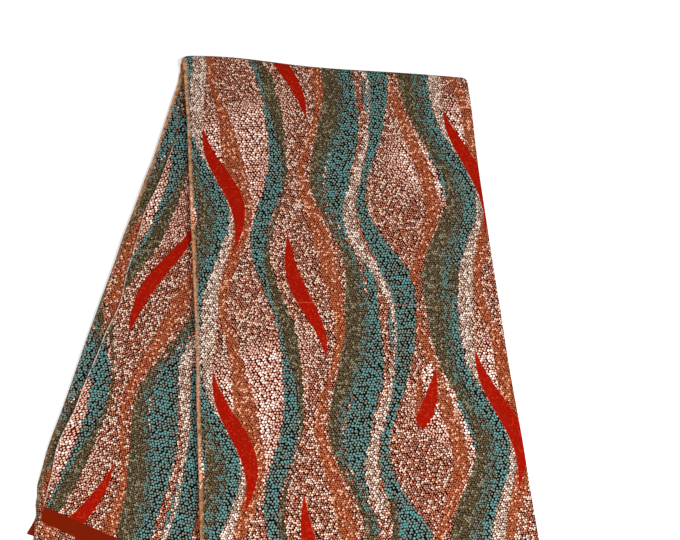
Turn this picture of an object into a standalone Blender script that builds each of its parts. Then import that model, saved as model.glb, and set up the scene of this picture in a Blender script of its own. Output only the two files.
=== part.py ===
"""A cut length of printed cotton, folded as for a shelf.

The length is folded back and forth into a strip of five panels, one on another. The strip is then
folded over once, at a slant, so that its upper leg lies across its lower leg and runs down to the
right of it. Metres, +Z up. The slanting fold runs along +X, both legs run from it towards -Y, and the
origin is under the middle of the bounding box.

Three distances follow the cloth: across, from the strip's left side to its right side; away, from the
slanting fold along -Y; and depth, from the outer face of the outermost panel inwards.
"""

import math
from typing import NamedTuple

import bmesh
import bpy
import numpy as np

# The cloth and its panels
PANEL_WIDTH = 0.345
PANELS = 5
SHEET = 0.0010
LAYER_GAP = 0.0006
PITCH = SHEET + LAYER_GAP
STACK = (PANELS - 1) * PITCH + SHEET

# The slanting fold that lays the upper leg on the lower one
LEG_GAP = 0.0020
UPPER_SLANT = math.radians(9.6)
LOWER_SLANT = math.radians(10.6)
FOLD_STRETCH = 1.0 / math.cos((UPPER_SLANT + LOWER_SLANT) / 2)
BEND_RADIUS = STACK + LEG_GAP / 2
BEND_AWAY = math.pi / 4 * BEND_RADIUS

# The slanting fold bows outwards near its left end
CREST_RISE = 0.0085
CREST_AT = 0.068
CREST_WIDTH = 0.080
CREST_FADE = 0.120

# Where the upper leg leaves the lower one, it comes down to the surface
DRAPE_CLEARANCE = 0.0020
DRAPE_LENGTH = 0.045
DRAPE_DROP = STACK + LEG_GAP

# The upper leg keeps a pressed crease, a soft ridge from side to side
CREASE_AWAY_LEFT = 0.303
CREASE_AWAY_RIGHT = 0.283
CREASE_RISE = 0.0014
CREASE_HALF_WIDTH = 0.012

# The sections that the mesh is made of, and the points along each
PANEL_STEPS = 11
TURN_STEPS = 4
BEND_STEPS = 8
UPPER_SHARES = (0.10, 0.22, 0.36, 0.49, 0.52, 0.55, 0.70, 0.85, 1.0)
LOWER_SHARES = (0.12, 0.25, 0.38, 0.50, 0.63, 0.76, 0.88, 0.94, 1.0)

# The print's mean colour
CLOTH_RED_BROWN = (0.36, 0.12, 0.07, 1.0)
CLOTH_ROUGHNESS = 0.85


class Turns(NamedTuple):
    """How far in from the strip's side the cloth turns or is cut, at one distance from the fold."""

    away: float
    outer_cut: float
    left_outer: float
    right_outer: float
    left_inner: float
    right_inner: float
    inner_cut: float


class Ends(NamedTuple):
    """How far from the fold the cloth's woven edge lies, at each turn and cut edge of its panels."""

    outer_cut: float
    left_outer: float
    right_outer: float
    left_inner: float
    right_inner: float
    inner_cut: float


class Section(NamedTuple):
    """One section through all the panels: its leg, its share of the way to the end, its bend angle."""

    upper: bool
    share: float
    angle: float


UPPER_TURNS = (
    #     away   outer_cut left_outer right_outer left_inner right_inner inner_cut
    Turns(0.000, 0.0000, 0.0000, 0.0030, 0.0020, 0.0040, 0.0220),
    Turns(0.100, 0.0010, 0.0020, 0.0040, 0.0050, 0.0050, 0.0200),
    Turns(0.200, 0.0040, 0.0020, 0.0070, 0.0040, 0.0080, 0.0220),
    Turns(0.330, 0.0030, 0.0020, 0.0050, 0.0050, 0.0070, 0.0210),
    Turns(0.450, 0.0000, 0.0000, 0.0030, 0.0030, 0.0040, 0.0190),
    Turns(0.600, -0.0020, -0.0020, 0.0020, 0.0020, 0.0030, 0.0200),
)
LOWER_TURNS = (
    #     away   outer_cut left_outer right_outer left_inner right_inner inner_cut
    Turns(0.000, 0.0000, 0.0000, 0.0030, 0.0020, 0.0040, 0.0220),
    Turns(0.110, 0.0020, 0.0030, 0.0010, 0.0010, 0.0040, 0.0230),
    Turns(0.190, 0.0010, 0.0000, 0.0020, -0.0030, 0.0030, 0.0180),
    Turns(0.270, 0.0030, 0.0060, 0.0000, 0.0040, 0.0020, 0.0220),
    Turns(0.330, 0.0020, 0.0030, 0.0010, 0.0010, 0.0030, 0.0250),
    Turns(0.430, 0.0010, 0.0000, 0.0020, -0.0030, 0.0020, 0.0180),
    Turns(0.500, 0.0020, 0.0030, 0.0010, 0.0020, 0.0030, 0.0150),
    Turns(0.560, 0.0030, 0.0110, 0.0020, 0.0160, 0.0040, 0.0200),
    Turns(0.650, 0.0030, 0.0110, 0.0030, 0.0240, 0.0040, 0.0220),
)
UPPER_ENDS = Ends(0.560, 0.581, 0.554, 0.586, 0.548, 0.574)
LOWER_ENDS = Ends(0.632, 0.566, 0.634, 0.590, 0.655, 0.5515)


def clear_scene():
    """Removes the objects that a new file starts with."""
    for obj in list(bpy.data.objects):
        bpy.data.objects.remove(obj, do_unlink=True)


def smooth_step(value):
    """Rises from 0 to 1 with level ends as value goes from 0 to 1."""
    held = min(max(value, 0.0), 1.0)
    return held * held * (3.0 - 2.0 * held)


def sections():
    """Lists the sections from the upper leg's end, round the slanting fold, to the lower leg's end."""
    upper = [Section(True, share, math.pi / 2) for share in reversed(UPPER_SHARES)]
    bend = []
    for step in range(BEND_STEPS + 1):
        angle = math.pi / 2 - math.pi * step / BEND_STEPS
        bend.append(Section(angle > 0, 0.0, angle))
    lower = [Section(False, share, -math.pi / 2) for share in LOWER_SHARES]
    return upper + bend + lower


def turn_places(section):
    """Gives (across, away) of the cut edges and turns at a section, outermost first."""
    rows = UPPER_TURNS if section.upper else LOWER_TURNS
    ends = UPPER_ENDS if section.upper else LOWER_ENDS
    aways = [row.away for row in rows]
    places = []
    for index, end in enumerate(ends):
        if section.share > 0:
            away = BEND_AWAY + (end - BEND_AWAY) * section.share
        else:
            away = abs(section.angle) / (math.pi / 2) * BEND_AWAY
        inset = float(np.interp(away, aways, [row[index + 1] for row in rows]))
        at_left = index % 2 == 1
        places.append((inset if at_left else PANEL_WIDTH - inset, away))
    return places


def drape_start(away):
    """Gives where across the upper leg it starts to come down, just past the lower leg's right side."""
    lower_side = PANEL_WIDTH * FOLD_STRETCH - away * math.tan(LOWER_SLANT)
    return (lower_side + DRAPE_CLEARANCE - away * math.tan(UPPER_SLANT)) / FOLD_STRETCH


def panel_shares(section, away):
    """Spaces a panel's points evenly, or closer together where the upper leg comes down."""
    even = np.linspace(0, 1, PANEL_STEPS + 1)
    if not section.upper or section.share == 0:
        return even
    start = drape_start(away) / PANEL_WIDTH
    low = min(max(start, 0.05), 0.80)
    high = min(max(start + DRAPE_LENGTH / FOLD_STRETCH / PANEL_WIDTH, low + 0.08), 0.95)
    return np.interp(even, [0, 0.25, 0.75, 1], [0, low, high, 1])


def middle_line(section):
    """Gives the sheet's middle line as (across, away, depth, normal's across, normal's depth)."""
    places = turn_places(section)
    radius = PITCH / 2
    reach = radius + SHEET / 2
    line = []
    for panel in range(PANELS):
        (begin, away), (finish, next_away) = places[panel], places[panel + 1]
        first, last = panel == 0, panel == PANELS - 1
        side = -1.0 if panel % 2 == 0 else 1.0
        depth = SHEET / 2 + panel * PITCH
        begin += 0.0 if first else side * reach
        finish -= 0.0 if last else side * reach
        shares = panel_shares(section, (away + next_away) / 2)
        if side < 0:
            shares = 1.0 - shares[::-1]
        for share in shares:
            across = begin + (finish - begin) * share
            line.append((across, away + (next_away - away) * share, depth, 0.0, side))
        if last:
            break
        for step in range(1, TURN_STEPS):
            angle = math.pi * step / TURN_STEPS
            out, down = math.sin(angle), math.cos(angle)
            across = finish + side * radius * out
            line.append((across, next_away, depth + radius * (1.0 - down), -out, side * down))
    return line


def placed(section, across, away, depth):
    """Maps a point of the folded strip to its place in space."""
    radius = BEND_RADIUS - depth
    slant = math.tan(UPPER_SLANT) if section.upper else -math.tan(LOWER_SLANT)
    x = across * FOLD_STRETCH + away * slant
    straight = away - BEND_AWAY if section.share > 0 else 0.0
    y = radius * math.cos(section.angle) - BEND_RADIUS - straight
    z = radius * math.sin(section.angle) + BEND_RADIUS
    if section.upper and section.share > 0:
        past = (across - drape_start(away)) * FOLD_STRETCH
        z -= DRAPE_DROP * smooth_step(past / DRAPE_LENGTH)
        crease = CREASE_AWAY_LEFT + (CREASE_AWAY_RIGHT - CREASE_AWAY_LEFT) * across / PANEL_WIDTH
        z += CREASE_RISE * math.exp(-(((away - crease) / CREASE_HALF_WIDTH) ** 2))
    y += CREST_RISE * math.exp(-(((x - CREST_AT) / CREST_WIDTH) ** 2) - (y / CREST_FADE) ** 2)
    return x, y, z


def sheet_points():
    """Gives the points of each section's outline: along one face of the sheet and back on the other."""
    rings = []
    for section in sections():
        line = middle_line(section)
        ring = []
        for face, way in ((1.0, line), (-1.0, line[::-1])):
            for across, away, depth, normal_across, normal_depth in way:
                out = face * SHEET / 2
                ring.append(placed(section, across + out * normal_across, away, depth + out * normal_depth))
        rings.append(ring)
    points = np.array(rings)
    low, high = points.min(axis=(0, 1)), points.max(axis=(0, 1))
    middle = (low + high) / 2
    return points - [middle[0], middle[1], low[2]]


def folded_cloth():
    """Builds the folded length as one closed sheet."""
    points = sheet_points()
    size = points.shape[1]
    mesh_shell = bmesh.new()
    rings = [[mesh_shell.verts.new(point) for point in ring] for ring in points]
    for near, far in zip(rings, rings[1:]):
        for i in range(size):
            j = (i + 1) % size
            mesh_shell.faces.new((near[i], near[j], far[j], far[i]))
    for ring in (rings[0], rings[-1]):
        for i in range(size // 2 - 1):
            mesh_shell.faces.new((ring[i], ring[i + 1], ring[-2 - i], ring[-1 - i]))
    bmesh.ops.recalc_face_normals(mesh_shell, faces=mesh_shell.faces)
    mesh = bpy.data.meshes.new("folded_cloth")
    mesh_shell.to_mesh(mesh)
    mesh_shell.free()
    mesh.shade_smooth()
    obj = bpy.data.objects.new("folded_cloth", mesh)
    bpy.context.scene.collection.objects.link(obj)
    return obj


def dress(obj):
    """Gives the cloth the print's mean colour."""
    material = bpy.data.materials.new("printed_cotton")
    material.use_nodes = True
    shader = material.node_tree.nodes["Principled BSDF"]
    shader.inputs["Base Color"].default_value = CLOTH_RED_BROWN
    shader.inputs["Roughness"].default_value = CLOTH_ROUGHNESS
    shader.inputs["Metallic"].default_value = 0.0
    obj.data.materials.append(material)


clear_scene()
dress(folded_cloth())
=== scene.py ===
"""Looks of a folded length of wax print cotton.

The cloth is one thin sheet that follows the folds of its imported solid: a strip of five panels, folded
back and forth, that is laid double at a slant. The sheet carries a map in metres of cloth, so that its
print runs unbroken round every fold, and small measures of how far each point is from an edge or fold.

Three distances follow the cloth: across, from the strip's left side to its right side; away, from the
slanting fold along -Y; and depth, from the outer face of the outermost panel inwards.
"""

import logging
import math
from dataclasses import dataclass
from enum import Enum
from typing import NamedTuple

import bpy
import numpy as np
from mathutils import Euler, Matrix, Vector


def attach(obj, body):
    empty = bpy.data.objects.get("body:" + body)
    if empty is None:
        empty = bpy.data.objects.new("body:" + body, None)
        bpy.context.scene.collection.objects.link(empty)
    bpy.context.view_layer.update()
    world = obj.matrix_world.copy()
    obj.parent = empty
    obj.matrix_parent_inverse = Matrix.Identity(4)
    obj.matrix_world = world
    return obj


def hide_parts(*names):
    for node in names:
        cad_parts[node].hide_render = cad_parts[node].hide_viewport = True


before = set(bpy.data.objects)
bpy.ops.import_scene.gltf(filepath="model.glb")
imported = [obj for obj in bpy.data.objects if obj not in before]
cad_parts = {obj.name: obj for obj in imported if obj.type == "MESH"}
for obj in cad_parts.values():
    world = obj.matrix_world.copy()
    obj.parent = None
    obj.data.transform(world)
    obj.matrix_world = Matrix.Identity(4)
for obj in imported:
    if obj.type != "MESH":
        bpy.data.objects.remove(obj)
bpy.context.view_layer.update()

LOG = logging.getLogger("wax_print_fabric")

Colour = tuple[float, float, float, float]
Tone = tuple[int, int, int]
Triple = tuple[float, float, float]
Socket = bpy.types.NodeSocket

# How brightly the cloth is lit, where 1 shows each colour just as it is
LIGHT_LEVEL = 1.4


def screen_colour(tone: Tone) -> Colour:
    """Turns a tone as it shows under the scene's light into the linear colour that a shader takes.

    It follows the curve of the sRGB standard, which is a straight foot with a power above it.

    Args:
        tone: Red, green and blue, where 255 shows in full. The palest dots go a little past it.

    Returns:
        The linear red, green and blue from 0 to 1, and full opacity.
    """
    foot_end, foot_slope, shift, power = 0.04045, 12.92, 0.055, 2.4
    linear = []
    for level in tone:
        part = level / 255
        above = ((part + shift) / (1.0 + shift)) ** power
        linear.append((part / foot_slope if part <= foot_end else above) / LIGHT_LEVEL)
    return (*linear, 1.0)


def smooth_step(value: np.ndarray | float) -> np.ndarray:
    """Rises from 0 to 1 with level ends as value goes from 0 to 1."""
    held = np.clip(value, 0.0, 1.0)
    return held * held * (3.0 - 2.0 * held)


def hump(value: np.ndarray | float) -> np.ndarray:
    """Gives a soft bell that is 1 at 0 and nearly 0 past 2, where value is in widths."""
    return np.exp(-np.square(value))


class Leg(Enum):
    """The two legs of the strip, on either side of the slanting fold."""

    UPPER = "upper"
    LOWER = "lower"


class Measure(Enum):
    """The measures that the cloth's mesh holds at its points, by the names that its material reads."""

    WOVEN_EDGE = "woven_edge"
    CUT_EDGE = "cut_edge"
    FOLD = "fold"
    CREASE = "crease"
    LOWER_END = "lower_end"


class Turns(NamedTuple):
    """How far in from the strip's side the cloth turns or is cut, at one distance from the fold."""

    away: float
    outer_cut: float
    left_outer: float
    right_outer: float
    left_inner: float
    right_inner: float
    inner_cut: float


class Section(NamedTuple):
    """One section through all the panels: its leg, its share of the way to the end, its bend angle."""

    leg: Leg
    share: float
    angle: float


class Ridge(NamedTuple):
    """One soft ridge in the cloth: where its top is, how far it reaches each way and how high it is."""

    leg: Leg
    across: float
    away: float
    reach_across: float
    reach_away: float
    lean: float
    rise: float


class Roll(NamedTuple):
    """How high a puffed fold stands, at one distance from the slanting fold."""

    away: float
    upper_left: float
    lower_left: float
    cut_edge: float


class Crest(NamedTuple):
    """One place where the slanting fold stands out: its place along the fold, its reach and its rise."""

    place: float
    reach: float
    rise: float


class Spacing(NamedTuple):
    """How a panel's points are spaced: the number of steps, and the places that shares of them reach."""

    steps: int
    shares: tuple[float, ...]
    places: tuple[float, ...]


UPPER_TURNS = (
    #     away   outer_cut left_outer right_outer left_inner right_inner inner_cut
    Turns(0.000, 0.0000, -0.0020, 0.0030, -0.0030, 0.0040, 0.0220),
    Turns(0.020, 0.0005, 0.0003, 0.0035, 0.0030, 0.0045, 0.0215),
    Turns(0.100, 0.0010, 0.0020, 0.0040, 0.0050, 0.0050, 0.0200),
    Turns(0.200, 0.0006, 0.0020, 0.0036, 0.0040, 0.0046, 0.0220),
    Turns(0.330, -0.0004, 0.0016, 0.0016, 0.0050, 0.0036, 0.0210),
    Turns(0.450, -0.0034, -0.0012, -0.0004, 0.0030, 0.0006, 0.0190),
    Turns(0.600, -0.0060, -0.0036, -0.0020, 0.0015, -0.0010, 0.0200),
)
LOWER_TURNS = (
    #     away   outer_cut left_outer right_outer left_inner right_inner inner_cut
    Turns(0.000, 0.0000, -0.0020, 0.0030, -0.0030, 0.0040, 0.0220),
    Turns(0.012, 0.0005, 0.0000, 0.0025, -0.0008, 0.0040, 0.0222),
    Turns(0.035, 0.0010, 0.0036, 0.0020, 0.0025, 0.0040, 0.0225),
    Turns(0.107, 0.0020, 0.0052, 0.0010, 0.0041, 0.0040, 0.0235),
    Turns(0.130, 0.0020, 0.0054, 0.0010, 0.0046, 0.0035, 0.0232),
    Turns(0.160, 0.0010, 0.0045, 0.0020, 0.0034, 0.0030, 0.0225),
    Turns(0.200, 0.0010, 0.0040, 0.0020, 0.0030, 0.0030, 0.0180),
    Turns(0.230, 0.0020, 0.0040, 0.0010, 0.0021, 0.0025, 0.0195),
    Turns(0.266, 0.0030, 0.0048, 0.0000, 0.0029, 0.0020, 0.0210),
    Turns(0.312, 0.0020, 0.0038, 0.0010, 0.0024, 0.0030, 0.0255),
    Turns(0.350, 0.0020, 0.0038, 0.0010, 0.0022, 0.0030, 0.0215),
    Turns(0.425, 0.0010, 0.0040, 0.0020, 0.0029, 0.0020, 0.0185),
    Turns(0.472, 0.0010, 0.0036, 0.0020, 0.0020, 0.0020, 0.0135),
    Turns(0.512, 0.0020, 0.0072, 0.0010, 0.0045, 0.0030, 0.0180),
    Turns(0.532, 0.0025, 0.0108, 0.0015, 0.0095, 0.0035, 0.0198),
    Turns(0.548, 0.0030, 0.0136, 0.0020, 0.0147, 0.0040, 0.0215),
    Turns(0.572, 0.0030, 0.0095, 0.0030, 0.0205, 0.0040, 0.0225),
    Turns(0.660, 0.0030, 0.0090, 0.0030, 0.0230, 0.0040, 0.0230),
)

# How far from the slanting fold the woven edge lies, at each cut edge and turn of the panels
UPPER_ENDS = (0.560, 0.581, 0.554, 0.586, 0.548, 0.574)
LOWER_ENDS = (0.632, 0.566, 0.634, 0.590, 0.655, 0.5515)

ROLLS = (
    #    away   upper_left lower_left cut_edge
    Roll(0.000, 0.0000, 0.0000, 0.0000),
    Roll(0.040, 0.0020, 0.0010, 0.0006),
    Roll(0.110, 0.0030, 0.0026, 0.0024),
    Roll(0.200, 0.0022, 0.0030, 0.0040),
    Roll(0.270, 0.0025, 0.0034, 0.0026),
    Roll(0.330, 0.0019, 0.0030, 0.0016),
    Roll(0.400, 0.0024, 0.0032, 0.0044),
    Roll(0.460, 0.0028, 0.0026, 0.0064),
    Roll(0.520, 0.0030, 0.0022, 0.0058),
    Roll(0.570, 0.0024, 0.0020, 0.0024),
    Roll(0.650, 0.0018, 0.0014, 0.0006),
)

# The panels that puff up along their left fold: the column of ROLLS that they follow, and how much of it
PUFFED_PANELS = {
    (Leg.UPPER, 0): ("upper_left", 1.0),
    (Leg.LOWER, 2): ("lower_left", 0.3),
    (Leg.LOWER, 3): ("lower_left", 1.0),
}

# The slanting fold isn't quite straight: it stands out in two places
CRESTS = (
    #     place  reach  rise
    Crest(0.050, 0.090, 0.0088),
    Crest(0.280, 0.130, 0.0036),
)

RIDGES = (
    #               across away  reach_across reach_away lean  rise
    Ridge(Leg.LOWER, 0.040, 0.250, 0.016, 0.070, -0.10, 0.0022),
    Ridge(Leg.LOWER, 0.060, 0.370, 0.022, 0.060, 0.15, 0.0020),
    Ridge(Leg.LOWER, 0.052, 0.480, 0.020, 0.060, -0.10, 0.0024),
    Ridge(Leg.LOWER, 0.110, 0.450, 0.020, 0.080, 0.05, 0.0016),
    Ridge(Leg.UPPER, 0.070, 0.140, 0.040, 0.110, 0.08, 0.0016),
    Ridge(Leg.UPPER, 0.210, 0.090, 0.050, 0.090, -0.12, 0.0014),
    Ridge(Leg.UPPER, 0.150, 0.230, 0.045, 0.080, 0.10, 0.0012),
    Ridge(Leg.UPPER, 0.280, 0.210, 0.035, 0.100, 0.05, 0.0012),
    Ridge(Leg.UPPER, 0.100, 0.400, 0.050, 0.090, -0.10, 0.0018),
    Ridge(Leg.UPPER, 0.230, 0.420, 0.050, 0.110, 0.12, 0.0014),
    Ridge(Leg.UPPER, 0.050, 0.530, 0.040, 0.070, 0.00, 0.0012),
)


class Wiring:
    """Adds nodes to one node tree and links them with short calls."""

    # The Mix node's sockets for colours and for numbers: the share, the first and the second
    COLOUR_INPUTS = (0, 6, 7)
    COLOUR_OUTPUT = 2
    NUMBER_INPUTS = (0, 2, 3)

    def __init__(self, tree: bpy.types.NodeTree) -> None:
        """Keeps the tree that the nodes go into."""
        self.tree = tree

    def node(self, kind: str, **settings: object) -> bpy.types.Node:
        """Adds one node.

        Args:
            kind: The node's type.
            **settings: The node's own properties and their values.

        Returns:
            The new node.
        """
        made = self.tree.nodes.new(kind)
        for name, value in settings.items():
            setattr(made, name, value)
        return made

    def feed(self, socket: Socket, source: object) -> None:
        """Links a socket to a source, or sets it where the source is a plain value.

        Args:
            socket: The input socket.
            source: An output socket, a number or a colour.
        """
        if isinstance(source, Socket):
            self.tree.links.new(source, socket)
        else:
            socket.default_value = source

    def math(self, operation: str, *sources: object) -> Socket:
        """Works one number out of others.

        Args:
            operation: The Math node's operation.
            *sources: Its inputs, in order, as sockets or numbers.

        Returns:
            The socket with the result.
        """
        made = self.node("ShaderNodeMath", operation=operation)
        for socket, source in zip(made.inputs, sources):
            self.feed(socket, source)
        return made.outputs[0]

    def wave(self, angle: object, height: object, turn: object) -> Socket:
        """Gives a sine wave of an angle in radians, that starts turn whole turns further on."""
        shifted = self.math("MULTIPLY_ADD", turn, math.tau, angle)
        return self.math("MULTIPLY", self.math("SINE", shifted), height)

    def rise(self, value: object, low: object, high: object) -> Socket:
        """Rises smoothly from 0 at low to 1 at high.

        Args:
            value: The number that is tested.
            low: Where the rise starts.
            high: Where it ends.

        Returns:
            The socket with the height of the rise.
        """
        made = self.node("ShaderNodeMapRange", interpolation_type="SMOOTHSTEP")
        for name, source in (("Value", value), ("From Min", low), ("From Max", high)):
            self.feed(made.inputs[name], source)
        return made.outputs[0]

    def mix(self, share: object, first: object, second: object, blend: str = "MIX") -> Socket:
        """Mixes two colours.

        Args:
            share: The second colour's share.
            first: The first colour.
            second: The second colour.
            blend: How they mix.

        Returns:
            The socket with the mixed colour.
        """
        made = self.node("ShaderNodeMix", data_type="RGBA", blend_type=blend)
        for index, source in zip(self.COLOUR_INPUTS, (share, first, second)):
            self.feed(made.inputs[index], source)
        return made.outputs[self.COLOUR_OUTPUT]

    def blend(self, share: object, first: object, second: object) -> Socket:
        """Mixes two numbers.

        Args:
            share: The second number's share.
            first: The first number.
            second: The second number.

        Returns:
            The socket with the mixed number.
        """
        made = self.node("ShaderNodeMix", data_type="FLOAT")
        for index, source in zip(self.NUMBER_INPUTS, (share, first, second)):
            self.feed(made.inputs[index], source)
        return made.outputs[0]

    def vector(self, operation: str, *sources: object, output: str = "Vector") -> Socket:
        """Works a vector, or a number, out of vectors.

        Args:
            operation: The Vector Math node's operation.
            *sources: Its inputs, in order, as sockets or triples.
            output: The output's name, which is Value where the result is a number.

        Returns:
            The socket with the result.
        """
        made = self.node("ShaderNodeVectorMath", operation=operation)
        for socket, source in zip(made.inputs, sources):
            self.feed(socket, source)
        return made.outputs[output]

    def turned(self, place: object, first: Triple, second: Triple) -> Socket:
        """Turns a place into another pair of axes.

        Args:
            place: The place.
            first: What the place's parts add to the new first part.
            second: What they add to the new second part.

        Returns:
            The socket with the new place.
        """
        made = self.node("ShaderNodeCombineXYZ")
        for socket, row in zip(made.inputs, (first, second)):
            self.feed(socket, self.vector("DOT_PRODUCT", place, row, output="Value"))
        return made.outputs[0]

    def parts(self, place: object) -> bpy.types.NodeOutputs:
        """Splits a place into its parts.

        Args:
            place: The place.

        Returns:
            The sockets, by the names X, Y and Z.
        """
        made = self.node("ShaderNodeSeparateXYZ")
        self.feed(made.inputs[0], place)
        return made.outputs

    def cloth_place(self) -> Socket:
        """Reads the place on the cloth, in metres, from the mesh's own map."""
        return self.node("ShaderNodeUVMap", uv_map=FoldedCloth.PRINT_MAP).outputs[0]

    def measure(self, kind: Measure) -> Socket:
        """Reads a measure that the mesh holds at its points."""
        return self.node("ShaderNodeAttribute", attribute_name=kind.value).outputs["Fac"]


class Fill(Enum):
    """What a zone of the print is filled with."""

    GROUND = "ground"
    PEBBLES = "pebbles"
    TEAL = "teal"
    MIST = "mist"
    OLIVE = "olive"
    RUST = "rust"
    CREAM = "cream"
    RED = "red"


class Band(NamedTuple):
    """One wavy band of the print, in metres and whole turns, for one repeat of the print."""

    fill: Fill
    centre: float
    sway: float
    sway_turn: float
    twist: float
    twist_turn: float
    half_width: float
    swell: float
    swell_turn: float


BANDS = (
    #                centre sway   turn  twist  turn  half    swell   turn
    Band(Fill.RUST, 0.010, 0.012, 0.10, 0.003, 0.10, 0.0090, 0.0050, 0.60),
    Band(Fill.TEAL, 0.048, 0.016, 0.00, 0.004, 0.20, 0.0160, 0.0060, 0.45),
    Band(Fill.MIST, 0.058, 0.018, 0.03, 0.004, 0.30, 0.0120, 0.0050, 0.20),
    Band(Fill.OLIVE, 0.064, 0.018, 0.03, 0.004, 0.30, 0.0070, 0.0035, 0.20),
    Band(Fill.RUST, 0.084, 0.017, 0.05, 0.003, 0.10, 0.0060, 0.0025, 0.60),
    Band(Fill.CREAM, 0.030, 0.017, 0.98, 0.004, 0.30, 0.0055, 0.0035, 0.10),
    Band(Fill.TEAL, 0.128, 0.016, 0.52, 0.004, 0.70, 0.0100, 0.0060, 0.10),
    Band(Fill.TEAL, 0.158, 0.014, 0.58, 0.004, 0.80, 0.0100, 0.0050, 0.70),
    Band(Fill.CREAM, 0.142, 0.019, 0.47, 0.003, 0.60, 0.0045, 0.0025, 0.40),
    Band(Fill.MIST, 0.176, 0.016, 0.62, 0.003, 0.90, 0.0075, 0.0050, 0.95),
    Band(Fill.OLIVE, 0.182, 0.016, 0.62, 0.003, 0.90, 0.0060, 0.0040, 0.95),
    Band(Fill.RUST, 0.198, 0.014, 0.60, 0.003, 0.10, 0.0060, 0.0030, 0.30),
    Band(Fill.OLIVE, 0.246, 0.014, 0.26, 0.003, 0.40, 0.0050, 0.0040, 0.05),
    Band(Fill.TEAL, 0.256, 0.013, 0.30, 0.003, 0.50, 0.0060, 0.0045, 0.55),
)
LEAVES = (
    #               centre sway   turn  twist  turn  half    swell   turn
    Band(Fill.RED, 0.020, 0.018, 0.96, 0.003, 0.30, 0.0010, 0.0085, 0.62),
    Band(Fill.RED, 0.222, 0.016, 0.40, 0.003, 0.10, 0.0005, 0.0085, 0.15),
)


class Wave(NamedTuple):
    """One slow wave of the print's ground: its height, and where it starts in whole turns."""

    height: float
    turn: float


@dataclass(frozen=True)
class DotFill:
    """A field of dots on darker gaps: their tones, the share of pale ones, and how large they are."""

    gap: Tone
    dot: Tone
    pale: Tone
    pale_share: float
    grown: float
    coarse: float


FILLS = {
    #                        gap          dot              pale            share  grown  coarse
    Fill.GROUND: DotFill((38, 4, 0), (196, 122, 94), (246, 210, 188), 0.30, -0.01, 0.0),
    Fill.PEBBLES: DotFill((70, 10, 4), (236, 180, 156), (268, 240, 226), 0.32, 0.01, 1.0),
    Fill.TEAL: DotFill((3, 4, 3), (122, 128, 116), (94, 144, 142), 0.40, 0.00, 1.0),
    Fill.MIST: DotFill((24, 16, 8), (118, 100, 80), (96, 134, 126), 0.38, 0.01, 0.0),
    Fill.OLIVE: DotFill((38, 26, 12), (100, 86, 62), (142, 132, 106), 0.25, 0.02, 0.0),
    Fill.RUST: DotFill((84, 22, 2), (172, 94, 60), (238, 176, 142), 0.18, 0.04, 0.0),
    Fill.CREAM: DotFill((66, 34, 22), (202, 168, 148), (250, 230, 214), 0.30, 0.03, 0.0),
    Fill.RED: DotFill((136, 10, 0), (154, 22, 2), (172, 38, 10), 0.20, 0.00, 0.0),
}


@dataclass(frozen=True)
class WearAndHighlight:
    """One pale line: where it runs, its tone and width, and how strong and steady it is. Along a fold it is
    wear with a painted highlight on the crest, along the crease a paler line, along a cut edge raw threads.
    """

    measure: Measure
    tone: Tone
    width: float
    strength: float
    lower_strength: float
    steady: float
    blend: str


# Pale lines: the fold's is wear with a painted highlight where its crest catches the light, the crease's a
# paler line, the cut edge's raw threads
WEAR_AND_HIGHLIGHT_LINES = (
    #                        tone          width   upper  lower steady
    WearAndHighlight(Measure.FOLD, (252, 168, 112), 0.0068, 0.56, 0.10, 0.30, "MIX"),
    WearAndHighlight(Measure.CREASE, (150, 92, 64), 0.0008, 0.45, 0.00, 0.20, "ADD"),
    WearAndHighlight(Measure.CUT_EDGE, (228, 206, 188), 0.0014, 0.00, 0.75, 0.10, "MIX"),
)


@dataclass(frozen=True)
class Dots:
    """One scatter of dots: a dot's centre, how far inside it a place is, its gaps and its chance."""

    centre: Socket
    within: Socket
    apart: Socket
    chance: Socket


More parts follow.
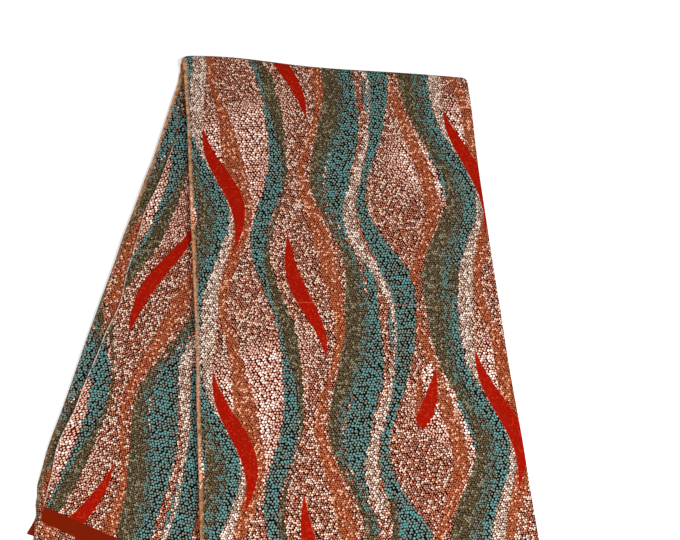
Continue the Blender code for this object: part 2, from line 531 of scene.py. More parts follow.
@dataclass(frozen=True)
class WaxPrint:
    """The printed cotton: wavy bands of graded dots, a plain woven edge and a plain weave."""

    # The dots: how far apart they lie, and their other measures, as shares
    coarse_dot: float = 0.0033
    fine_dot: float = 0.0026
    unevenness: float = 0.5
    least_dot: float = 0.25
    most_dot: float = 0.44
    dot_edge: float = 0.05
    gap_from: float = 0.03
    gap_full: float = 0.12
    pale_edge: float = 0.10

    # The layout: its repeat, and how sharp and how ragged a band's edge is
    repeat: float = 0.290
    band_edge: float = 0.0002
    edge_wander: float = 0.0007

    # The ground's patches of paler dots, and the coarser dots where a patch is strongest
    patch_bend: Wave = Wave(1.1, 0.15)
    patch_across: Wave = Wave(0.6, 0.30)
    patch_along: Wave = Wave(0.5, 0.70)
    patch_pale: float = 0.15
    pebble_scatter: float = 0.4
    pebble_from: float = 0.66
    pebble_full: float = 0.70

    # The plain woven edge
    woven_edge: Tone = (108, 22, 0)
    woven_edge_width: float = 0.0166
    woven_edge_blur: float = 0.0004

    # The pale lines, which along the folds are wear with a painted highlight: their patches, a line's full
    # share, and what the plain edge is spared
    wear_and_highlight_patch: float = 0.006
    wear_and_highlight_from: float = 0.32
    wear_and_highlight_full: float = 0.62
    wear_and_highlight_core: float = 1 / 3
    edge_unmarked: float = 0.9

    # The weave and its sheen
    thread: float = 0.00045
    weave_strength: float = 0.35
    weave_height: float = 0.00008
    roughness: float = 0.88
    specular: float = 0.03
    sheen: float = 0.01
    sheen_roughness: float = 0.45

    def band_group(self) -> bpy.types.NodeTree:
        """Makes the node group that tells whether a place on the cloth lies in a wavy band.

        Returns:
            The node group, with one input for each measure of a band.
        """
        tree = bpy.data.node_groups.new("wavy_band", "ShaderNodeTree")
        for name in ("Across", "Angle", *Band._fields[1:]):
            tree.interface.new_socket(name, in_out="INPUT", socket_type="NodeSocketFloat")
        tree.interface.new_socket("Inside", in_out="OUTPUT", socket_type="NodeSocketFloat")
        wiring = Wiring(tree)
        given = wiring.node("NodeGroupInput").outputs
        sway = wiring.wave(given["Angle"], given["sway"], given["sway_turn"])
        double = wiring.math("MULTIPLY", given["Angle"], 2.0)
        twist = wiring.wave(double, given["twist"], given["twist_turn"])
        centre = wiring.math("ADD", given["centre"], wiring.math("ADD", sway, twist))
        apart = wiring.math("SUBTRACT", given["Across"], centre)
        near = wiring.math("WRAP", apart, self.repeat / 2, -self.repeat / 2)
        swell = wiring.wave(given["Angle"], given["swell"], given["swell_turn"])
        half = wiring.math("ADD", given["half_width"], swell)
        inside = wiring.math("SUBTRACT", half, wiring.math("ABSOLUTE", near))
        result = wiring.node("NodeGroupOutput")
        wiring.feed(result.inputs[0], wiring.rise(inside, -self.band_edge, self.band_edge))
        return tree

    def dots(self, wiring: Wiring, place: Socket, size: float) -> Dots:
        """Scatters round dots on an uneven honeycomb, largest where their chance is least.

        Args:
            wiring: Where the nodes go.
            place: The place on the cloth, in metres.
            size: The distance from dot to dot, in metres.

        Returns:
            The dots' measures.
        """
        half_row, row_height = 0.5, math.sqrt(0.75)
        skewed = wiring.turned(place, (1.0, -half_row / row_height, 0.0), (0.0, 1.0 / row_height, 0.0))
        edge = wiring.node("ShaderNodeTexVoronoi", feature="DISTANCE_TO_EDGE", voronoi_dimensions="2D")
        cell = wiring.node("ShaderNodeTexVoronoi", feature="F1", voronoi_dimensions="2D")
        for made in (edge, cell):
            wiring.feed(made.inputs["Vector"], skewed)
            made.inputs["Scale"].default_value = 1.0 / size
            made.inputs["Randomness"].default_value = self.unevenness
        centre = wiring.turned(cell.outputs["Position"], (1.0, half_row, 0.0), (0.0, row_height, 0.0))
        drawn = wiring.node("ShaderNodeSeparateColor")
        wiring.feed(drawn.inputs[0], cell.outputs["Color"])
        chance = drawn.outputs[0]
        radius = wiring.math("MULTIPLY_ADD", chance, self.least_dot - self.most_dot, self.most_dot)
        from_centre = wiring.vector("DISTANCE", place, centre, output="Value")
        within = wiring.math("MULTIPLY_ADD", from_centre, -1.0 / size, radius)
        apart = wiring.rise(edge.outputs["Distance"], self.gap_from, self.gap_full)
        return Dots(centre, within, apart, chance)

    def filled(self, wiring: Wiring, fill: DotFill, dots: Dots, more: object) -> Socket:
        """Colours one field of dots.

        Args:
            wiring: Where the nodes go.
            fill: The field's tones and its share of pale dots, which are those of the least chance.
            dots: The scatter of dots.
            more: How many more of the dots are pale here than fill says, as a share.

        Returns:
            The socket with the field's colour.
        """
        within = wiring.math("ADD", dots.within, fill.grown)
        printed = wiring.math("MULTIPLY", wiring.rise(within, -self.dot_edge, self.dot_edge), dots.apart)
        ahead = wiring.math("SUBTRACT", wiring.math("ADD", more, fill.pale_share), dots.chance)
        paleness = wiring.rise(ahead, -self.pale_edge, self.pale_edge)
        dot = wiring.mix(paleness, screen_colour(fill.dot), screen_colour(fill.pale))
        return wiring.mix(printed, screen_colour(fill.gap), dot)

    def angle(self, wiring: Wiring, place: object) -> Socket:
        """Turns a place, in metres, into an angle in the print's repeat."""
        return wiring.math("MULTIPLY", place, math.tau / self.repeat)

    def dotted_group(self, band_group: bpy.types.NodeTree) -> bpy.types.NodeTree:
        """Makes the node group that lays out the dotted print, whole dots at a time.

        Args:
            band_group: The group that tells whether a place lies in a wavy band.

        Returns:
            The node group. It takes a scatter of dots, and gives the print's colour and whether the
            zone there takes coarse dots.
        """
        tree = bpy.data.node_groups.new("dotted_print", "ShaderNodeTree")
        tree.interface.new_socket("Centre", in_out="INPUT", socket_type="NodeSocketVector")
        for name in ("Within", "Apart", "Chance"):
            tree.interface.new_socket(name, in_out="INPUT", socket_type="NodeSocketFloat")
        tree.interface.new_socket("Colour", in_out="OUTPUT", socket_type="NodeSocketColor")
        tree.interface.new_socket("Coarse", in_out="OUTPUT", socket_type="NodeSocketFloat")
        wiring = Wiring(tree)
        given = wiring.node("NodeGroupInput").outputs
        dots = Dots(given["Centre"], given["Within"], given["Apart"], given["Chance"])
        swing = (2 * self.edge_wander, 0.0, 0.0)
        parts = wiring.parts(wiring.vector("MULTIPLY_ADD", dots.chance, swing, dots.centre))
        angle, side_angle = self.angle(wiring, parts["Y"]), self.angle(wiring, parts["X"])
        bent = wiring.math("ADD", side_angle, wiring.wave(angle, *self.patch_bend))
        along = wiring.wave(angle, *self.patch_along)
        patches = wiring.math("ADD", wiring.wave(bent, *self.patch_across), along)
        more = wiring.math("MULTIPLY", patches, self.patch_pale)

        colours = {
            kind: self.filled(wiring, fill, dots, more if kind is Fill.GROUND else 0.0)
            for kind, fill in FILLS.items()
            if kind is not Fill.RED
        }
        uneven = wiring.math("MULTIPLY_ADD", dots.chance, self.pebble_scatter, patches)
        coarse = wiring.rise(uneven, self.pebble_from, self.pebble_full)
        colour = wiring.mix(coarse, colours[Fill.GROUND], colours[Fill.PEBBLES])
        for band in BANDS:
            shape = self.inside_band(wiring, band_group, band, parts["X"], angle)
            colour = wiring.mix(shape, colour, colours[band.fill])
            coarse = wiring.blend(shape, coarse, FILLS[band.fill].coarse)
        result = wiring.node("NodeGroupOutput")
        wiring.feed(result.inputs[0], colour)
        wiring.feed(result.inputs[1], coarse)
        return tree

    def inside_band(
        self, wiring: Wiring, group: bpy.types.NodeTree, band: Band, across: object, angle: object
    ) -> Socket:
        """Tells whether a place lies in one wavy band.

        Args:
            wiring: Where the nodes go.
            group: The group that works it out.
            band: The band's measures.
            across: The place across the cloth.
            angle: The place along it, as an angle in the repeat.

        Returns:
            The socket that is 1 inside the band and 0 outside.
        """
        shape = wiring.node("ShaderNodeGroup", node_tree=group)
        wiring.feed(shape.inputs["Across"], across)
        wiring.feed(shape.inputs["Angle"], angle)
        for name in Band._fields[1:]:
            shape.inputs[name].default_value = getattr(band, name)
        return shape.outputs[0]

    def colour(self, wiring: Wiring) -> Socket:
        """Lays out the whole print: fine dots, coarse dots where a zone takes them, and plain leaves.

        Args:
            wiring: Where the nodes go.

        Returns:
            The socket with the print's colour.
        """
        cloth = wiring.cloth_place()
        band_group = self.band_group()
        dotted = self.dotted_group(band_group)
        fine_dots = self.dots(wiring, cloth, self.fine_dot)
        coarse_dots = self.dots(wiring, cloth, self.coarse_dot)
        prints = []
        for dots in (fine_dots, coarse_dots):
            made = wiring.node("ShaderNodeGroup", node_tree=dotted)
            for socket, source in zip(made.inputs, (dots.centre, dots.within, dots.apart, dots.chance)):
                wiring.feed(socket, source)
            prints.append(made.outputs)
        fine, coarse = prints
        colour = wiring.mix(coarse["Coarse"], fine["Colour"], coarse["Colour"])
        parts = wiring.parts(cloth)
        angle = self.angle(wiring, parts["Y"])
        plain = self.filled(wiring, FILLS[Fill.RED], fine_dots, 0.0)
        for leaf in LEAVES:
            shape = self.inside_band(wiring, band_group, leaf, parts["X"], angle)
            colour = wiring.mix(shape, colour, plain)
        return colour

    def weave(self, wiring: Wiring) -> Socket:
        """Raises the threads of a plain weave.

        Args:
            wiring: Where the nodes go.

        Returns:
            The socket with the surface's normal.
        """
        parts = wiring.parts(wiring.cloth_place())
        turns = math.pi / self.thread
        over, under = (wiring.math("SINE", wiring.math("MULTIPLY", parts[axis], turns)) for axis in "XY")
        bump = wiring.node("ShaderNodeBump")
        bump.inputs["Strength"].default_value = self.weave_strength
        bump.inputs["Distance"].default_value = self.weave_height
        wiring.feed(bump.inputs["Height"], wiring.math("MULTIPLY", over, under))
        return bump.outputs[0]

    def material(self) -> bpy.types.Material:
        """Makes the cloth's material.

        Returns:
            The material, with the print, the plain woven edge, the pale folds of wear with a painted
            highlight, the pale crease and cut edges, and the weave.
        """
        made = bpy.data.materials.new("printed_cotton")
        made.use_nodes = True
        wiring = Wiring(made.node_tree)
        shader = made.node_tree.nodes["Principled BSDF"]
        colour = self.colour(wiring)
        woven = wiring.measure(Measure.WOVEN_EDGE)
        band = wiring.rise(woven, self.woven_edge_width, self.woven_edge_width - self.woven_edge_blur)
        colour = wiring.mix(band, colour, screen_colour(self.woven_edge))
        patches = wiring.node("ShaderNodeTexNoise")
        wiring.feed(patches.inputs["Vector"], wiring.node("ShaderNodeTexCoord").outputs["Object"])
        patches.inputs["Scale"].default_value = 1.0 / self.wear_and_highlight_patch
        uneven = wiring.rise(patches.outputs["Fac"], self.wear_and_highlight_from, self.wear_and_highlight_full)
        printed = wiring.math("MULTIPLY_ADD", band, -self.edge_unmarked, 1.0)
        lower_end = wiring.measure(Measure.LOWER_END)
        # Paints the pale lines: wear with a painted highlight along the folds, a paler line along the
        # crease, raw threads along the cut edges
        for wear_and_highlight in WEAR_AND_HIGHLIGHT_LINES:
            apart = wiring.math("ABSOLUTE", wiring.measure(wear_and_highlight.measure))
            near = wiring.rise(apart, wear_and_highlight.width, wear_and_highlight.width * self.wear_and_highlight_core)
            patchy = wiring.blend(uneven, wear_and_highlight.steady, 1.0)
            strength = wiring.blend(lower_end, wear_and_highlight.strength, wear_and_highlight.lower_strength)
            share = wiring.math("MULTIPLY", wiring.math("MULTIPLY", near, patchy), strength)
            share = wiring.math("MULTIPLY", share, printed)
            colour = wiring.mix(share, colour, screen_colour(wear_and_highlight.tone), blend=wear_and_highlight.blend)
        wiring.feed(shader.inputs["Base Color"], colour)
        wiring.feed(shader.inputs["Normal"], self.weave(wiring))
        shader.inputs["Roughness"].default_value = self.roughness
        shader.inputs["Metallic"].default_value = 0.0
        shader.inputs["Specular IOR Level"].default_value = self.specular
        shader.inputs["Sheen Weight"].default_value = self.sheen
        shader.inputs["Sheen Roughness"].default_value = self.sheen_roughness
        return made


@dataclass
class FoldedCloth:
    """The cut length of cloth, from one woven edge round the slanting fold to the other."""

    PRINT_MAP = "print_metres"
    BAKE_MAP = "OFBake"

    # The cloth, its panels and how deep their middles lie
    cloth_width: float = 1.17
    cloth_length: float = 1.70
    panel_width: float = 0.345
    panels: int = 5
    sheet: float = 0.0006
    outermost: float = 0.0005
    pitch: float = 0.0016
    stack: float = 0.0074

    # The two legs, and the slanting fold's place, rounded ends and bow
    leg_gap: float = 0.0020
    upper_slant: float = math.radians(9.6)
    lower_slant: float = math.radians(10.6)
    fold_left_x: float = -0.1759
    fold_y: float = 0.3242
    crest_fade: float = 0.120
    left_end: float = -0.0020
    left_corner: float = 0.0085
    right_corner: float = 0.0057
    corner_fade: float = 0.025

    # Where the upper leg leaves the lower one and comes down, and its pressed crease
    drape_clearance: float = 0.0020
    drape_length: float = 0.045
    crease_away_left: float = 0.303
    crease_away_right: float = 0.283
    crease_rise: float = 0.0014
    crease_half_width: float = 0.006

    # The puffed folds, and the lower leg's ridges, pressed down where the upper leg lies on them
    roll_reach: float = 0.013
    lower_roll_in: float = 0.002
    lift_start: float = 0.050
    pressed_share: float = 0.75
    pressed_reach: float = 0.020

    # Where the pale lines, with the folds' painted highlight, change along the lower leg, and how far off a
    # leg with no crease counts
    lower_end_start: float = 0.030
    lower_end_reach: float = 0.300
    no_crease: float = 1.0

    # The mesh: its spacing along the strip and across, and the angle past which an edge is sharp
    ring_spacing: float = 0.0055
    bend_steps: int = 12
    turn_steps: int = 6
    shown_panel: Spacing = Spacing(62, (0, 0.08, 0.16, 0.65, 0.93, 1), (0, 0.02, 0.06, 0.80, 0.975, 1))
    hidden_panel: Spacing = Spacing(14, (0, 0.3, 0.7, 1), (0, 0.08, 0.92, 1))
    sharp_angle: float = math.radians(60)

    # The bake map: the faces' height on it, where each face's turns come, and the rims' rows above
    bake_faces: float = 0.976
    bake_outward: tuple[float, ...] = (0, 0.38, 0.41, 0.46, 0.498)
    bake_inward: tuple[float, ...] = (0.502, 0.57, 1.0)
    bake_past_turn: float = 0.03
    bake_rim_pitch: float = 0.004
    bake_rim_height: float = 0.003

    def __post_init__(self) -> None:
        """Works out the sizes that follow from the others."""
        self.fold_stretch = 1.0 / math.cos((self.upper_slant + self.lower_slant) / 2)
        self.bend_radius = self.stack + self.leg_gap / 2
        self.bend_away = math.pi / 4 * self.bend_radius

    def sections(self) -> list[Section]:
        """Lists the sections from the upper leg's end, round the slanting fold, to the lower leg's end.

        Returns:
            The sections, in order along the strip.
        """
        upper_steps = round(max(UPPER_ENDS) / self.ring_spacing)
        lower_steps = round(max(LOWER_ENDS) / self.ring_spacing)
        upper = [Section(Leg.UPPER, 1.0 - step / upper_steps, math.pi / 2) for step in range(upper_steps)]
        bend = []
        for step in range(self.bend_steps + 1):
            angle = math.pi / 2 - math.pi * step / self.bend_steps
            bend.append(Section(Leg.UPPER if angle > 0 else Leg.LOWER, 0.0, angle))
        lower = [Section(Leg.LOWER, step / lower_steps, -math.pi / 2) for step in range(1, lower_steps + 1)]
        return upper + bend + lower

    def eased(self, away: float, rows: tuple[Turns, ...] | tuple[Roll, ...], name: str) -> float:
        """Reads a table between its rows, with no corner at a row.

        Args:
            away: The distance from the slanting fold.
            rows: The table's rows, each with an away.
            name: The column's name.

        Returns:
            The column's value there.
        """
        for before, after in zip(rows, rows[1:]):
            if away <= after.away:
                share = smooth_step((away - before.away) / (after.away - before.away))
                low, high = getattr(before, name), getattr(after, name)
                return low + (high - low) * float(share)
        return getattr(rows[-1], name)

    def turn_places(self, section: Section) -> list[tuple[float, float]]:
        """Gives where a section's cut edges and turns lie, outermost first.

        Args:
            section: The section.

        Returns:
            The distance across and away of each.
        """
        upper = section.leg is Leg.UPPER
        rows, ends = (UPPER_TURNS, UPPER_ENDS) if upper else (LOWER_TURNS, LOWER_ENDS)
        places = []
        for index, (name, end) in enumerate(zip(Turns._fields[1:], ends)):
            if section.share > 0:
                away = self.bend_away + (end - self.bend_away) * section.share
            else:
                away = abs(section.angle) / (math.pi / 2) * self.bend_away
            inset = self.eased(away, rows, name)
            places.append((inset if index % 2 else self.panel_width - inset, away))
        return places

    def lift(self, leg: Leg, panel: int, across: np.ndarray, away: np.ndarray) -> np.ndarray:
        """Gives how far a panel is lifted off its level place by ridges and puffed folds.

        Args:
            leg: The leg of the strip.
            panel: The panel's number, outermost first.
            across: The places across.
            away: The places away.

        Returns:
            The lift at each place, upwards.
        """
        upper = leg is Leg.UPPER
        below = self.panels - 1 - panel if upper else panel
        raised = np.zeros_like(across)
        for ridge in RIDGES:
            if ridge.leg is leg:
                side = across - ridge.across - ridge.lean * (away - ridge.away)
                along = (away - ridge.away) / ridge.reach_away
                raised += ridge.rise * hump(side / ridge.reach_across) * hump(along)
        raised *= (1 + below) / self.panels
        middle = float(np.mean(away))
        if (leg, panel) in PUFFED_PANELS:
            column, share = PUFFED_PANELS[leg, panel]
            left = across - (0.0 if upper else self.lower_roll_in)
            raised += share * self.eased(middle, ROLLS, column) * hump(left / self.roll_reach)
        if not upper and panel == self.panels - 1:
            edge = (across - self.eased(middle, LOWER_TURNS, "inner_cut")) / self.roll_reach
            raised += self.eased(middle, ROLLS, "cut_edge") * hump(edge)
        if not upper:
            covered = away * (math.tan(self.upper_slant) + math.tan(self.lower_slant)) / self.fold_stretch
            under = (across - covered + self.pressed_reach / 2) / self.pressed_reach
            raised *= 1.0 - self.pressed_share * smooth_step(under)
        return raised * smooth_step((away - self.bend_away) / self.lift_start)

    def panel_shares(self, panel: int) -> np.ndarray:
        """Spaces a panel's points across, closer together where it shows and where it turns.

        Args:
            panel: The panel's number, outermost first.

        Returns:
            The points' shares of the way from the panel's start to its finish.
        """
        spacing = self.shown_panel if panel in (0, self.panels - 1) else self.hidden_panel
        return np.interp(np.linspace(0, 1, spacing.steps + 1), spacing.shares, spacing.places)

    def middle_line(self, section: Section) -> tuple[np.ndarray, np.ndarray]:
        """Lays out a section's middle line through all its panels and turns.

        Args:
            section: The section.

        Returns:
            The points, as across, away and depth, and the place of each along the cloth's length.
        """
        places = self.turn_places(section)
        ends = self.end_depths(section, places)
        up = -1.0 if section.leg is Leg.UPPER else 1.0
        points: list[np.ndarray] = []
        lengths: list[np.ndarray] = []
        start = 0.0
        for panel in range(self.panels):
            (begin, begin_away), (finish, finish_away) = places[panel], places[panel + 1]
            first, last = panel == 0, panel == self.panels - 1
            side = -1.0 if panel % 2 == 0 else 1.0
            half = 0.0 if last else (ends[panel + 1][0] - ends[panel][1]) / 2
            if not first:
                begin += side * (abs(ends[panel][0] - ends[panel - 1][1]) + self.sheet) / 2
            if not last:
                finish -= side * (abs(half) + self.sheet / 2)
            shares = self.panel_shares(panel)
            across = begin + (finish - begin) * shares
            away = begin_away + (finish_away - begin_away) * shares
            depth = self.outermost + panel * self.pitch + up * self.lift(section.leg, panel, across, away)
            points.append(np.stack([across, away, depth], axis=1))
            width = abs(finish - begin)
            arc = math.pi * abs(half)
            stop = start + width if last else self.turn_middle(panel + 1) - arc / 2
            lengths.append(stop - (width if first else stop - start) * (1.0 - shares))
            if last:
                break
            angles = math.pi * np.arange(1, self.turn_steps) / self.turn_steps
            turn_across = finish + side * abs(half) * np.sin(angles)
            turn_depth = ends[panel][1] + half * (1.0 - np.cos(angles))
            turn_away = np.full_like(angles, finish_away)
            points.append(np.stack([turn_across, turn_away, turn_depth], axis=1))
            lengths.append(stop + abs(half) * angles)
            start = stop + arc
        return np.concatenate(points), np.concatenate(lengths)

    def turn_middle(self, turn: int) -> float:
        """Gives the place of a turn's middle along the cloth's length, for turns numbered from 1."""
        return turn * self.panel_width + (turn - 0.5) * math.pi * self.pitch / 2

    def end_depths(self, section: Section, places: list[tuple[float, float]]) -> list[list[float]]:
        """Gives how deep each panel lies at its two ends.

        Args:
            section: The section.
            places: Where the section's cut edges and turns lie.

        Returns:
            The depth at the start and at the finish of each panel.
        """
        up = -1.0 if section.leg is Leg.UPPER else 1.0
        ends = []
        for panel in range(self.panels):
            level = self.outermost + panel * self.pitch
            row = []
            for across, away in (places[panel], places[panel + 1]):
                raised = self.lift(section.leg, panel, np.array([across]), np.array([away]))
                row.append(level + up * float(raised[0]))
            ends.append(row)
        return ends

    def faces_of(self, line: np.ndarray) -> tuple[np.ndarray, np.ndarray]:
        """Gives the cloth's two faces on either side of its middle line.

        Args:
            line: The middle line's points, as across, away and depth.

        Returns:
            The outward face's points and the inward face's points.
        """
        step = np.gradient(line[:, [0, 2]], axis=0)
        size = np.hypot(step[:, 0], step[:, 1])
        normal = np.stack([-step[:, 1] / size, np.zeros(len(line)), step[:, 0] / size], axis=1)
        return line + normal * self.sheet / 2, line - normal * self.sheet / 2

    def drape_start(self, away: np.ndarray) -> np.ndarray:
        """Gives where across the upper leg it starts to come down, past the lower leg's right side."""
        lower_side = self.panel_width * self.fold_stretch - away * math.tan(self.lower_slant)
        return (lower_side + self.drape_clearance - away * math.tan(self.upper_slant)) / self.fold_stretch

    def placed(self, section: Section, points: np.ndarray) -> np.ndarray:
        """Maps points of the folded strip to their places in space.

        Args:
            section: The section that the points are on.
            points: The points, as across, away and depth.

        Returns:
            The points in the part's frame.
        """
        across, away, depth = points.T
        upper = section.leg is Leg.UPPER
        radius = self.bend_radius - depth
        slant = math.tan(self.upper_slant) if upper else -math.tan(self.lower_slant)
        x = across * self.fold_stretch + away * slant
        straight = away - self.bend_away if section.share > 0 else 0.0
        y = radius * math.cos(section.angle) - self.bend_radius - straight
        z = radius * math.sin(section.angle) + self.bend_radius
        if upper and section.share > 0:
            past = (across - self.drape_start(away)) * self.fold_stretch
            z -= (self.stack + self.leg_gap) * smooth_step(past / self.drape_length)
            z += self.crease_rise * hump(self.from_crease(across, away) / self.crease_half_width)
        falls_back = self.corner_drop(x) * hump(y / self.corner_fade)
        stands_out = sum(crest.rise * hump((x - crest.place) / crest.reach) for crest in CRESTS)
        y += stands_out * hump(y / self.crest_fade) - falls_back
        return np.stack([x + self.fold_left_x, y + self.fold_y, z], axis=1)

    def corner_drop(self, x: np.ndarray) -> np.ndarray:
        """Gives how far the slanting fold falls back at its rounded ends.

        Args:
            x: The places along the slanting fold, from its left end.

        Returns:
            The drop at each.
        """
        right_end = self.panel_width * self.fold_stretch
        drop = np.zeros_like(x)
        for radius, inside in ((self.left_corner, x - self.left_end), (self.right_corner, right_end - x)):
            past = np.clip(1.0 - inside / radius, 0.0, 1.0)
            drop += radius * (1.0 - np.sqrt(1.0 - past**2))
        return drop

    def from_crease(self, across: np.ndarray, away: np.ndarray) -> np.ndarray:
        """Gives how far past the pressed crease places are, along the strip."""
        slope = (self.crease_away_right - self.crease_away_left) / self.panel_width
        return away - self.crease_away_left - slope * across

    def along_cloth(self, section: Section, line: np.ndarray) -> np.ndarray:
        """Gives how far from the slanting fold each point is along the strip, in cloth.

        Args:
            section: The section.
            line: The middle line's points.

        Returns:
            The distance, positive on the upper leg and negative on the lower one.
        """
        across, away, depth = line.T
        turned = math.sin(section.angle)
        slant = (self.upper_slant + self.lower_slant) / 2
        slant += (self.upper_slant - self.lower_slant) / 2 * turned
        straight = np.maximum(away - self.bend_away, 0.0) if section.share > 0 else 0.0
        along = abs(section.angle) * (self.bend_radius - depth) + straight / math.cos(slant)
        sign = 1.0 if section.angle > 0 else -1.0
        return sign * along + across * self.fold_stretch * math.sin(slant)

    def build(self) -> bpy.types.Object:
        """Builds the sheet, with its map in metres, its bake map and its measures.

        Returns:
            The cloth's object.
        """
        outward, inward, lengths, alongs, creases = [], [], [], [], []
        for section in self.sections():
            line, length = self.middle_line(section)
            near, far = self.faces_of(line)
            outward.append(self.placed(section, near))
            inward.append(self.placed(section, far))
            lengths.append(length)
            alongs.append(self.along_cloth(section, line))
            farther = self.no_crease if section.leg is Leg.LOWER else 0.0
            creases.append(self.from_crease(line[:, 0], line[:, 1]) - farther)
        faces = [np.array(outward), np.array(inward)]
        length, along = np.array(lengths), np.array(alongs)
        points = np.concatenate([face.reshape(-1, 3) for face in faces])
        points[:, 2] -= points[:, 2].min()
        mesh = bpy.data.meshes.new("folded_cloth_sheet")
        outer = np.arange(length.size).reshape(length.shape)
        inner = outer + length.size
        sides = [(inner[:, 0], outer[:, 0]), (outer[:, -1], inner[:, -1])]
        ends = [(outer[0], inner[0]), (inner[-1], outer[-1])]
        quads = self.corners(outer, inner, sides + ends)
        mesh.from_pydata(points.tolist(), [], quads.tolist())
        places = np.tile(np.stack([length.ravel(), along.ravel()], axis=1), (2, 1))
        self.add_map(mesh, self.PRINT_MAP, places[quads])
        self.add_map(mesh, self.BAKE_MAP, self.bake_corners(length, along))
        self.add_measures(mesh, length, along, np.array(creases))
        obj = bpy.data.objects.new("folded_cloth_sheet", mesh)
        bpy.context.scene.collection.objects.link(obj)
        return obj

    def corners(
        self, outer: np.ndarray, inner: np.ndarray, rims: list[tuple[np.ndarray, np.ndarray]]
    ) -> np.ndarray:
        """Lists the corners of the quads of both faces and of the thin rims, all facing outwards.

        Args:
            outer: The outward face's points, by section and by place along its line.
            inner: The inward face's points.
            rims: The two rows of points that each rim joins.

        Returns:
            The four corners of each quad.
        """
        face = np.stack([outer[:-1, :-1], outer[1:, :-1], outer[1:, 1:], outer[:-1, 1:]], axis=2)
        back = np.stack([inner[:-1, :-1], inner[:-1, 1:], inner[1:, 1:], inner[1:, :-1]], axis=2)
        strips = [np.stack([one[:-1], one[1:], two[1:], two[:-1]], axis=1) for one, two in rims]
        return np.concatenate([part.reshape(-1, 4, *outer.shape[2:]) for part in (face, back, *strips)])

    def bake_corners(self, length: np.ndarray, along: np.ndarray) -> np.ndarray:
        """Lays the faces side by side on a square and the rims above, with most room for what shows.

        Args:
            length: Each point's place along the cloth's length.
            along: Each point's place along the strip.

        Returns:
            The place of each corner of each quad on the square.
        """
        first, third, last = (self.turn_middle(turn) for turn in (1, 3, 4))
        start, finish = length.min(), length.max()
        outer_turns = [start, first, third, third + self.bake_past_turn, finish]
        outer_across = np.interp(length, outer_turns, self.bake_outward)
        inner_across = np.interp(length, [start, last, finish], self.bake_inward)
        up = self.bake_faces * (along - along.min()) / np.ptp(along)
        outer, inner = np.stack([outer_across, up], axis=2), np.stack([inner_across, up], axis=2)
        rows, columns = length.shape
        rims = []
        for number, points in enumerate((rows, rows, columns, columns)):
            across, low = np.linspace(0, 1, points), self.bake_faces + self.bake_rim_pitch * (number + 1)
            near, far = np.full(points, low), np.full(points, low + self.bake_rim_height)
            rims.append((np.stack([across, near], axis=1), np.stack([across, far], axis=1)))
        return self.corners(outer, inner, rims)

    def add_map(self, mesh: bpy.types.Mesh, name: str, corners: np.ndarray) -> None:
        """Adds a map to the mesh, from the place on it of each corner of each quad."""
        layer = mesh.uv_layers.new(name=name)
        layer.data.foreach_set("uv", corners.astype(np.float32).ravel())

    def add_measures(
        self, mesh: bpy.types.Mesh, length: np.ndarray, along: np.ndarray, crease: np.ndarray
    ) -> None:
        """Adds how far each vertex is from each kind of edge and fold, and how far down the lower leg.

        Args:
            mesh: The cloth's mesh.
            length: Each point's place along the cloth's length.
            along: Each point's place along the strip.
            crease: How far past the pressed crease each point is.
        """
        woven = np.minimum(along.max(axis=0) - along, along - along.min(axis=0))
        start, finish = length.min(axis=1, keepdims=True), length.max(axis=1, keepdims=True)
        cut = np.minimum(length - start, finish - length)
        fold = np.min([np.abs(length - self.turn_middle(turn)) for turn in range(1, self.panels)], axis=0)
        lower_end = smooth_step((-along - self.lower_end_start) / self.lower_end_reach)
        measures = {
            Measure.WOVEN_EDGE: woven,
            Measure.CUT_EDGE: cut,
            Measure.FOLD: fold,
            Measure.CREASE: crease,
            Measure.LOWER_END: lower_end,
        }
        for kind, values in measures.items():
            attribute = mesh.attributes.new(kind.value, "FLOAT", "POINT")
            attribute.data.foreach_set("value", np.tile(values.ravel(), 2).astype(np.float32))

    def dress(self, obj: bpy.types.Object, finish: WaxPrint) -> None:
        """Gives the cloth its material and soft shading.

        Args:
            obj: The cloth's object.
            finish: The printed cotton.
        """
        obj.data.materials.append(finish.material())
        bpy.ops.object.select_all(action="DESELECT")
        obj.select_set(True)
        bpy.context.view_layer.objects.active = obj
        bpy.ops.object.shade_smooth_by_angle(angle=self.sharp_angle)

    def declare(self, obj: bpy.types.Object) -> None:
        """Hangs the cloth on the root and hides the solid that it stands for.

        Args:
            obj: The cloth's object.
        """
        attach(obj, "root")
        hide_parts("folded_cloth")


@dataclass(frozen=True)
class Lamp:
    """One square light that faces the cloth: its name, its place, its power in watts and its side."""

    name: str
    place: Triple
    power: float
    size: float


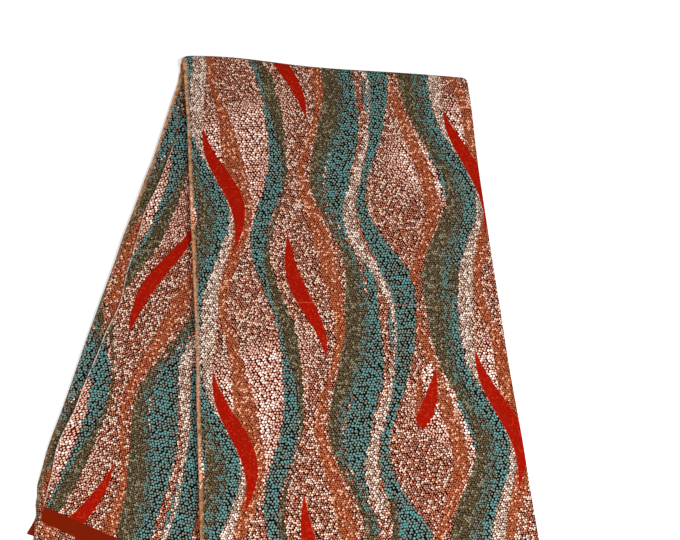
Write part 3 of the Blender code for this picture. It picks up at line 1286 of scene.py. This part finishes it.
@dataclass
class Studio:
    """The pale floor, the soft lights and the camera."""

    floor_size: float = 8.0
    floor_colour: Colour = (0.94, 0.94, 0.94, 1.0)
    floor_roughness: float = 0.9
    floor_specular: float = 0.1
    sky_colour: Colour = (1.0, 1.0, 1.0, 1.0)
    sky_strength: float = 0.48 * LIGHT_LEVEL
    lamps: tuple[Lamp, ...] = (
        Lamp("key_light", (0.80, -0.40, 1.40), 19.0 * LIGHT_LEVEL, 0.35),
        Lamp("fill_light", (-0.30, -1.15, 0.70), 13.0 * LIGHT_LEVEL, 1.2),
    )
    camera_place: Triple = (0.0588, -0.2037, 0.9445)
    camera_tilt: float = math.radians(16.37)
    camera_turn: float = math.radians(4.37)
    lens: float = 45.0
    sensor: float = 36.0
    nearest: float = 0.01

    def floor(self) -> bpy.types.Object:
        """Lays the plain floor that the cloth lies on.

        Returns:
            The floor's object.
        """
        bpy.ops.object.select_all(action="DESELECT")
        bpy.ops.mesh.primitive_plane_add(size=self.floor_size, location=(0, 0, 0))
        made = bpy.context.object
        made.name = "floor"
        paint = bpy.data.materials.new("pale_floor")
        paint.use_nodes = True
        shader = paint.node_tree.nodes["Principled BSDF"]
        shader.inputs["Base Color"].default_value = self.floor_colour
        shader.inputs["Roughness"].default_value = self.floor_roughness
        shader.inputs["Specular IOR Level"].default_value = self.floor_specular
        made.data.materials.append(paint)
        return made

    def light(self, lamp: Lamp) -> None:
        """Hangs one light and turns it to the cloth.

        Args:
            lamp: The light's measures.
        """
        data = bpy.data.lights.new(lamp.name, "AREA")
        data.energy = lamp.power
        data.size = lamp.size
        obj = bpy.data.objects.new(lamp.name, data)
        obj.location = lamp.place
        obj.rotation_euler = (-Vector(lamp.place)).to_track_quat("-Z", "Y").to_euler()
        bpy.context.scene.collection.objects.link(obj)

    def sky(self) -> None:
        """Sets an even white sky, and colours shown as they are."""
        world = bpy.data.worlds.new("even_sky")
        world.use_nodes = True
        background = world.node_tree.nodes["Background"]
        background.inputs["Color"].default_value = self.sky_colour
        background.inputs["Strength"].default_value = self.sky_strength
        bpy.context.scene.world = world
        bpy.context.scene.view_settings.view_transform = "Standard"

    def camera(self) -> bpy.types.Object:
        """Sets the camera at the photograph's place and angle.

        Returns:
            The camera's object.
        """
        data = bpy.data.cameras.new("camera")
        data.lens = self.lens
        data.sensor_width = self.sensor
        data.sensor_fit = "HORIZONTAL"
        data.clip_start = self.nearest
        obj = bpy.data.objects.new("camera", data)
        obj.location = self.camera_place
        obj.rotation_euler = Euler((self.camera_tilt, 0.0, self.camera_turn))
        bpy.context.scene.collection.objects.link(obj)
        bpy.context.scene.camera = obj
        return obj


def main() -> None:
    """Builds and dresses the cloth, then sets up the studio."""
    logging.basicConfig(level=logging.INFO, format="%(name)s: %(message)s")
    studio = Studio()
    studio.camera()
    cloth = FoldedCloth()
    sheet = cloth.build()
    cloth.dress(sheet, WaxPrint())
    cloth.declare(sheet)
    LOG.info("%s: %d vertices, %d faces", sheet.name, len(sheet.data.vertices), len(sheet.data.polygons))
    studio.floor()
    for lamp in studio.lamps:
        studio.light(lamp)
    studio.sky()
    LOG.info("floor, lights and camera are in place")


if __name__ == "__main__":
    main()
